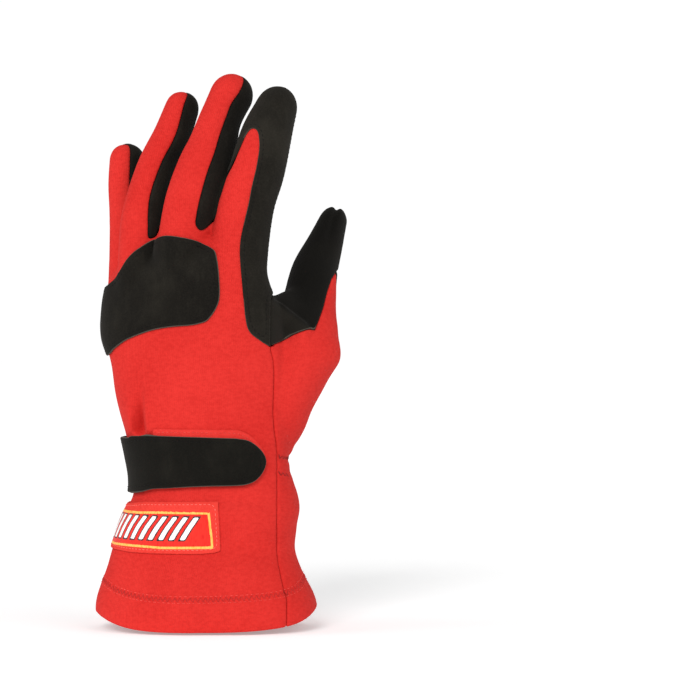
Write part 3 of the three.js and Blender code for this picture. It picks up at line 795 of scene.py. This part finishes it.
def relief(dye, shader, strength, deep, height):
    """Tips the light as a fine unevenness would, from 0 to `deep` millimetres high."""
    inputs = {"Strength": strength, "Distance": deep * MM, "Height": height}
    dye.feed(shader.inputs["Normal"], dye.node("ShaderNodeBump", None, inputs))


# The red knit. Two layers of flame-resistant jersey: fine wales that run up the hand, a soft fuzz on the
# face, and a slightly mottled dye.
RED = colour(214, 50, 44)
RED_DEEP = colour(178, 26, 22)
WALE = 0.95                    # one column of loops
COURSE = 0.8                   # one row of loops


def red_knit(name, base=RED, deep=RED_DEEP):
    material, shader, dye, place = new_material(name, 0.85, 0.1, 0.1, colour(255, 120, 110), 0.4)
    axes = dye.node("ShaderNodeSeparateXYZ", None, {0: place}).socket.node.outputs
    px, py, pz = (Dye(dye.tree, axes[k]) for k in range(3))
    column = (px + py * 0.6) / (WALE * MM)
    beside = (column - column.maths("FLOOR", column)) - 0.5
    slope = beside.maths("ABSOLUTE", beside)
    loops = (pz / (COURSE * MM) - slope * 1.1) * (2 * np.pi)
    loops = loops.maths("SINE", loops) * 0.5 + 0.5
    groove = slope.step(0.28, 0.5)
    face = loops * 0.5 + (1 - groove) * 0.5
    cloud = noise(dye, place, 30.0, 2.0, 0.5)
    fuzz = noise(dye, place, 900.0, 2.0, 0.6)
    fleck = stretched_noise(dye, place, (420.0, 420.0, 700.0), 2.0, 0.6)
    tone = cloud.step(0.3, 0.7) * 0.22 + (1 - face) * 0.2 + fuzz * 0.14 + fleck.step(0.34, 0.7) * 0.26
    dye.feed(shader.inputs["Base Color"], tone.blend(base, deep))
    relief(dye, shader, 0.6, 0.2, face + fuzz * 0.6)
    return material


def thread(name, tint, light, shine=0.35):
    """Polyester thread: two plies that twist round each other, with a slight shine."""
    material, shader, dye, place = new_material(name, 0.65, shine)
    ply = noise(dye, place, 2400.0, 1.0, 0.4)
    dye.feed(shader.inputs["Base Color"], ply.step(0.35, 0.7).blend(tint, light))
    return material


# The back of the hand, the backs of the fingers and the front half of the cuff: one panel of red knit, sewn
# to the palm along the sides of the fingers with its edges turned in. Two rows of stitches with a zigzag
# between them hold the turned-up hem.
KNIT_DROP = 0.85
KNIT_ROLL = 1.7
HEM_ROWS = (18.9, 15.6)        # heights of the stitch rows above the hem
HEM_THREAD = 0.2
back_field = np.minimum(back_zone - SEAM_GAP / 2, above_hem)
back = thick_piece("back_panel", cut_out(one_island(back_field)), 0.0, WALL, KNIT_DROP, KNIT_ROLL)
back.data.materials.append(red_knit("red_knit"))
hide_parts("back")

red_thread = thread("red_thread", colour(196, 40, 34), colour(238, 82, 72))
rows = [running(line, 0.0, pitch=2.6, radius=HEM_THREAD)
        for row in HEM_ROWS for line in skin_lines(above_hem - row)]
thread_piece("hem_stitches", rows, red_thread)
# The zigzag's thread is dark red, partly its own colour and partly painted shade for the hollows between the
# hem's stitches.
zigzag_shade_thread = thread("red_thread_painted_shade", colour(158, 22, 18), colour(190, 36, 30))
rows = [zigzag(line, 0.0, radius=HEM_THREAD) for line in skin_lines(above_hem - np.mean(HEM_ROWS))]
thread_piece("hem_zigzag", rows, zigzag_shade_thread)

# The side panel: the same knit over the thumb's outer side, the heel of the hand and the palm half of the
# cuff. Two short rows of dark zigzag tack the gathered wrist beside its seam.
side_field = np.minimum(side_field - SEAM_GAP / 2, above_hem)
side = thick_piece("side_panel", cut_out(one_island(side_field)), 0.0, WALL, KNIT_DROP, KNIT_ROLL)
side.data.materials.append(red_knit("red_knit_side"))
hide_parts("side")

TACK_HEIGHTS = (2.8, -5.8)
dark_thread = thread("dark_red_thread", colour(120, 10, 8), colour(150, 22, 18))
TACK_ENDS = (36.6, 42.4)
TACK_MIDDLE = 39
beside_seam = (x > TACK_ENDS[0]) & (x < TACK_ENDS[1]) & (y < 8)
tack_line = z + 0.3 * (x - TACK_MIDDLE)
tacks = [zigzag(line, 0.0, pitch=1.9, width=1.2, start=0.2)
         for height in TACK_HEIGHTS for line in skin_lines(tack_line - height, beside_seam)]
thread_piece("wrist_tacks", tacks, dark_thread)

# The palm: black suede over the palm, with the fronts and sides of the fingers. The nap is brushed, so it
# shows soft lighter clouds, and its cut edges are grey.
SUEDE = colour(16, 14, 11)
SUEDE_LIGHT = colour(43, 40, 34)
SUEDE_EDGE = colour(80, 77, 70)
SUEDE_DROP = 0.8
SUEDE_ROLL = 1.6


def suede(name, base=SUEDE, light=SUEDE_LIGHT, edge=None, lit=None):
    """Brushed leather. Where an edge colour is given, the raw cut edge shows it. Where `lit` names an
    attribute, the suede is painted lighter there, as painted light, by as much as it says."""
    material, shader, dye, place = new_material(name, 0.92, 0.08, 0.12, colour(150, 146, 140), 0.55)
    cloud = noise(dye, place, 34.0, 3.0, 0.55)
    nap = noise(dye, place, 1300.0, 3.0, 0.7)
    streak = stretched_noise(dye, place, (260.0, 260.0, 90.0), 2.0, 0.6)
    tone = cloud.step(0.42, 0.8) * 0.42 + nap.step(0.35, 0.8) * 0.3 + streak.step(0.45, 0.75) * 0.14
    # Painted light: where `lit` names an attribute, the suede is painted lighter by as much as it says.
    if lit:
        tone = tone * 0.3 + dye.node("ShaderNodeAttribute", {"attribute_name": lit}, out=2) * 0.45
    shade = tone.blend(base, light)
    if edge:
        cut = dye.node("ShaderNodeAttribute", {"attribute_name": "edge"}, out=2)
        shade = (1 - cut.step(0.05, 0.42)).blend(shade, edge)
    dye.feed(shader.inputs["Base Color"], shade)
    relief(dye, shader, 0.6, 0.15, nap + cloud * 0.6 + streak * 0.4)
    return material


palm_field = palm_field - SEAM_GAP / 2
palm = thick_piece("palm_panel", cut_out(one_island(palm_field)), 0.0, WALL, SUEDE_DROP, SUEDE_ROLL)
palm.data.materials.append(suede("palm_suede"))
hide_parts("palm")

# The thumb's inner face with the web: darker suede, partly its own tone and partly painted shade, with
# painted
# # light on the web's face; its lower edge cut raw and lapped over the knit.
THUMB_LIFT = 0.75
THUMB_DROP = 0.6
THUMB_ROLL = 1.3
cut = cut_out(one_island(thumb_zone - SEAM_GAP / 2))
data = cut[0]
lapped = (1 - ramp(data[:, 2], 76, 96)) * (1 - ramp(data[:, 1], 6, 14))
thumb = thick_piece("thumb_panel", cut, THUMB_LIFT * lapped, WALL, THUMB_DROP, THUMB_ROLL,
                    raw=lambda spots: (spots[:, 2] < 71) & (spots[:, 0] > 33.4) & (spots[:, 1] < 6))
web_light_layer = thumb.data.attributes.new("painted_web_light", "FLOAT", "POINT")
# Painted light: the web's face, which faces the lamps, is painted lighter than the rest of the thumb's suede.
web_painted_light = np.interp(above_fold(data), (-1.0, 0.6), (1.0, 0.0)) * ramp(-data[:, 1], -14, -8)
web_light_layer.data.foreach_set("value", np.tile(web_painted_light, 2).astype(np.float32))
# The thumb's suede is darker than the palm's, partly its own tone and partly painted shade for its inner
# face.
thumb_paint = suede("thumb_suede", colour(12, 11, 9), colour(38, 35, 30), SUEDE_EDGE, "painted_web_light")
thumb.data.materials.append(thumb_paint)
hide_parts("thumb_panel")

# The knuckle patch: one piece of suede over the knuckles of the middle, ring and little fingers, sewn on top.
PATCH = smooth_outline(seen([
    (-90, 100), (-62, 92), (-53, 94.5), (-48, 100), (-44.6, 105), (-40.6, 109.2), (-35.4, 112.8), (-30, 116),
    (-25, 117.8), (-20, 117.8), (-14.6, 117), (-9.4, 116), (-4.2, 114.4), (1, 111.8), (3.4, 109.2),
    (5, 102.4), (5.8, 94), (6, 88), (5.4, 83), (3, 78), (-0.6, 73.6), (-4.2, 72.2), (-9.4, 71.2),
    (-19.8, 70.4), (-30.2, 68.6), (-40.6, 65), (-45.8, 62.4), (-51.2, 58.6), (-58, 54), (-90, 44)], PATCH_AT))
PATCH_THICK = 1.2
PATCH_WRAP = 205               # degrees round the little finger's side where the patch ends at the latest
PATCH_ROW = 2.4                # how far inside the edge the stitches run
LIFT = 0.32                    # how far a piece lies above what it is sewn on
THIN_THREAD = dict(radius=0.17, arch=0.1)
patch_lift = LIFT + PATCH_THICK
patch_field = np.minimum(raised(PATCH, patch_lift), np.radians(PATCH_WRAP - body_angle) * body_half)
patch_field = np.where(body_angle > 150, np.minimum(patch_field, back_zone + 1.2), patch_field)
patch_field = one_island(np.where(z > 40, patch_field, OUTSIDE))
patch = thick_piece("knuckle_patch", cut_out(patch_field), patch_lift, PATCH_THICK)
patch.data.materials.append(suede("patch_suede", edge=SUEDE_EDGE))
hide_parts("knuckle_patch")

black_thread = thread("black_thread", colour(8, 8, 7), colour(20, 19, 17), shine=0.12)
stitch_row("patch_stitches", patch_field - PATCH_ROW, patch_lift, black_thread, "patch_suede", **THIN_THREAD)

# The index strip: suede over the index fingertip and down its thumb side to the web, sewn on top.
STRIP = smooth_outline(seen([
    (9.4, 152), (12.6, 157), (15.4, 162.6), (17.4, 167), (18.8, 170), (20.4, 172.4), (21.8, 173.6),
    (23.4, 173.8), (25, 172.9), (26.2, 170), (26.6, 162.8), (25.2, 153.2), (22.8, 142.6), (21.4, 134.8),
    (19.4, 126.4), (17.2, 116.6), (16.6, 110), (16.8, 104), (17.6, 95), (18.6, 84.6), (19.8, 73.8),
    (21.9, 67.6), (27, 63.4), (32.3, 60.2), (38, 58), (50, 60), (60, 100), (90, 150), (80, 215), (4, 215),
    (4, 152)], STRIP_AT), 6)
STRIP_WRAP = (-20, 205)        # degrees round the index finger between which the strip lies
STRIP_ROW = 2.2
strip_lift = THUMB_LIFT + 0.15
angle, radius, past, half, seam = finger_place(FINGERS["index"])
on_finger = np.minimum(1.25 - radius, finger_place(FINGERS["middle"])[1] - radius) * half
wraps = np.minimum(np.radians(angle - STRIP_WRAP[0]) * half, np.radians(STRIP_WRAP[1] - angle) * half)
share = ramp(z, 92, 100)
strip_field = np.minimum(raised(STRIP, strip_lift), share * wraps + (1 - share) * (9.0 - y))
strip_field = np.minimum(strip_field, on_finger + 99 * (1 - ramp(z, 86, 98)))
strip_field = one_island(np.minimum(strip_field, -thumb_zone - 0.1))
strip = thick_piece("index_strip", cut_out(strip_field), strip_lift, strip_lift - LIFT / 2,
                    raw=lambda spots: spots[:, 0] > 19)
strip_paint = suede("strip_suede", colour(22, 20, 16), colour(47, 44, 38), colour(62, 59, 53))
strip.data.materials.append(strip_paint)
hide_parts("index_strip")
stitch_row("strip_stitches", strip_field - STRIP_ROW, strip_lift, black_thread, "strip_suede", **THIN_THREAD)

# The landing pad: a red knit pad under the strap, sewn round its edge.
PAD = smooth_outline(seen([
    (-29.6, 10), (-29.6, 16.2), (-29, 16.9), (-20, 16.9), (0, 16.8), (14.4, 16.6), (17.6, 15.8), (21, 14.2),
    (24, 11.8), (27.4, 7.8), (29.6, 2), (24, -8), (14, -10), (-29, -11)], STRAP_AT), 5)
PAD_THICK = 1.1
PAD_ROW = 1.7
pad_lift = LIFT + PAD_THICK
pad_field = one_island(np.where(body_angle > 0, raised(PAD, pad_lift), OUTSIDE))
pad = thick_piece("strap_pad", cut_out(pad_field), pad_lift, PAD_THICK)
pad.data.materials.append(red_knit("pad_knit", colour(222, 58, 52), colour(192, 36, 30)))
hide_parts("strap_pad")
stitch_row("pad_stitches", pad_field - PAD_ROW, pad_lift, red_thread, "pad_knit",
           pitch=2.3, length=1.7, radius=0.2)

# The strap: a suede band from the little finger's side across the wrist to a rounded end, held on the pad.
STRAP = smooth_outline(seen([
    (-90, 12), (-60, 12), (-44.6, 11.8), (-41.8, 13), (-30, 13.4), (-9.4, 13), (11.4, 12.4), (16.6, 12),
    (20.8, 11.2), (24, 9.4), (26.4, 7.4), (28.4, 5.2), (29.8, 2.8), (30.4, 0.3), (30.1, -2.2), (29.2, -4.6),
    (27.8, -6.8), (25.8, -9), (23.6, -10.5), (21, -11.4), (18, -12), (11.4, -12.3), (1, -12.5), (-9.4, -13),
    (-19.8, -13.8), (-30.2, -14.6), (-38.5, -16.4), (-60, -18), (-90, -18)], STRAP_AT))
STRAP_THICK = 1.7
STRAP_WRAP = 225
STRAP_ROW = 2.6
strap_lift = 2 * LIFT + PAD_THICK + STRAP_THICK
strap_field = np.minimum(raised(STRAP, strap_lift), np.radians(STRAP_WRAP - body_angle) * body_half)
strap_field = one_island(np.where(body_angle > 0, strap_field, OUTSIDE))
strap = thick_piece("strap", cut_out(strap_field), strap_lift, STRAP_THICK)
strap.data.materials.append(suede("strap_suede", colour(14, 13, 10), colour(34, 32, 27), SUEDE_EDGE))
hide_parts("strap")
stitch_row("strap_stitches", strap_field - STRAP_ROW, strap_lift, black_thread, "strap_suede",
           radius=0.18, arch=0.12)

# The label: a woven patch round the little finger's side of the cuff, red in a paler border, with a yellow
# line round a row of slanted white bars with dark edges. Every mark is woven a little proud of the ground.
LABEL = seen([
    (-90, -22.5), (-43.6, -22.5), (-34, -21.2), (5.2, -20.4), (6.6, -45.9), (3.4, -46.9), (-4.2, -47.4),
    (-30.5, -47.7), (-41.6, -47.4), (-52.5, -46.4), (-90, -40)], LABEL_AT)
FIELD = seen([
    (-90, -24), (-44.2, -26.8), (-35.6, -26.8), (-25, -26.4), (0.6, -26.4), (2.6, -44.6), (-25, -45),
    (-36.2, -44.4), (-50.8, -44), (-90, -38)], LABEL_AT)
LABEL_THICK = 1.0
LABEL_WRAP = 196.0
LABEL_DROP = 0.35
LABEL_ROLL = 0.9
LABEL_ROW = 1.6
LINE_INSET = 3.4               # from the label's far end to the yellow line
MARK_SINK = 0.25
MARK_DROP = 0.06
MARK_ROLL = 0.3
BAR_MIDDLE = -33.0             # height of the middle of the bars
BAR_HIGH = 5.9                 # half a bar's height
BAR_LEAN = 0.31                # how far a bar leans for each millimetre up
BAR_HALF = 1.35
BAR_FIRST = 7.8                # from the middle of the cuff's front to the first bar
BAR_PITCH = 5.6
BAR_NUMBER = 11
label_wrap = np.radians(LABEL_WRAP - body_angle) * body_half
label_lift = LIFT + LABEL_THICK
label_field = np.minimum(raised(LABEL, label_lift), label_wrap)
label_field = one_island(np.where(body_angle > 0, label_field, OUTSIDE))
label = thick_piece("label", cut_out(label_field), label_lift, LABEL_THICK, LABEL_DROP, LABEL_ROLL)
label.data.materials.append(red_knit("label_weave", colour(226, 66, 56), colour(206, 44, 36)))
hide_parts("label")
pink_thread = thread("pink_thread", colour(232, 92, 82), colour(250, 130, 118))
stitch_row("label_stitches", label_field - LABEL_ROW, label_lift, pink_thread, "label_weave",
           pitch=2.2, length=1.6, radius=0.18)


def woven(name, field, height, base, deep):
    """A mark on the label: a thin raised patch of satin weave, its fine ribs running up and down."""
    material, shader, dye, place = new_material(name, 0.7, 0.2, 0.15)
    rib = stretched_noise(dye, place, (1500.0, 1500.0, 220.0), 1.0, 0.5)
    dye.feed(shader.inputs["Base Color"], (1 - rib.step(0.3, 0.55)).blend(base, deep))
    relief(dye, shader, 0.4, 0.1, rib)
    cut = cut_out(np.minimum(field, label_field - 0.2), rings=(MARK_ROLL,))
    piece = thick_piece(name, cut, label_lift + height, height + MARK_SINK, MARK_DROP, MARK_ROLL)
    piece.data.materials.append(material)


def round_cuff_from_front(height):
    """How far round the cuff each point lies from the middle of its front, along the skin's ring at a height,
    positive towards the little finger's side."""
    left, right, mid, deep, skew = (np.interp(height, body_rows[:, 0], body_rows[:, k]) for k in range(1, 6))
    c, s = superellipse(np.radians(np.linspace(60, 250, 400)))
    ring = np.stack([(left + right) / 2 + (right - left) / 2 * c, mid - deep * s - skew * c], axis=1)
    along = travelled(ring)
    angle = np.degrees(np.arctan2(s, c)) % 360
    return np.interp(body_angle, angle, along) - np.interp(90, angle, along)


field = np.minimum(raised(FIELD, label_lift), label_wrap - LINE_INSET)
field = np.where(body_angle > 0, field, OUTSIDE)
offset = round_cuff_from_front(BAR_MIDDLE) + BAR_LEAN * (z - BAR_MIDDLE) - BAR_FIRST
which = np.clip(np.round(offset / BAR_PITCH), 0, BAR_NUMBER - 1)
bars = np.minimum(BAR_HALF - np.abs(offset - which * BAR_PITCH), BAR_HIGH - np.abs(z - BAR_MIDDLE))
bars = np.minimum(bars, field - 1.5)
woven("label_ground", field, 0.06, colour(228, 40, 28), colour(210, 26, 18))
woven("label_line", 0.62 - np.abs(field - 0.2), 0.14, colour(252, 186, 92), colour(240, 160, 60))
woven("label_bar_edges", bars + 0.62, 0.12, colour(52, 44, 46), colour(30, 26, 28))
woven("label_bars", bars, 0.2, colour(250, 246, 244), colour(222, 214, 212))
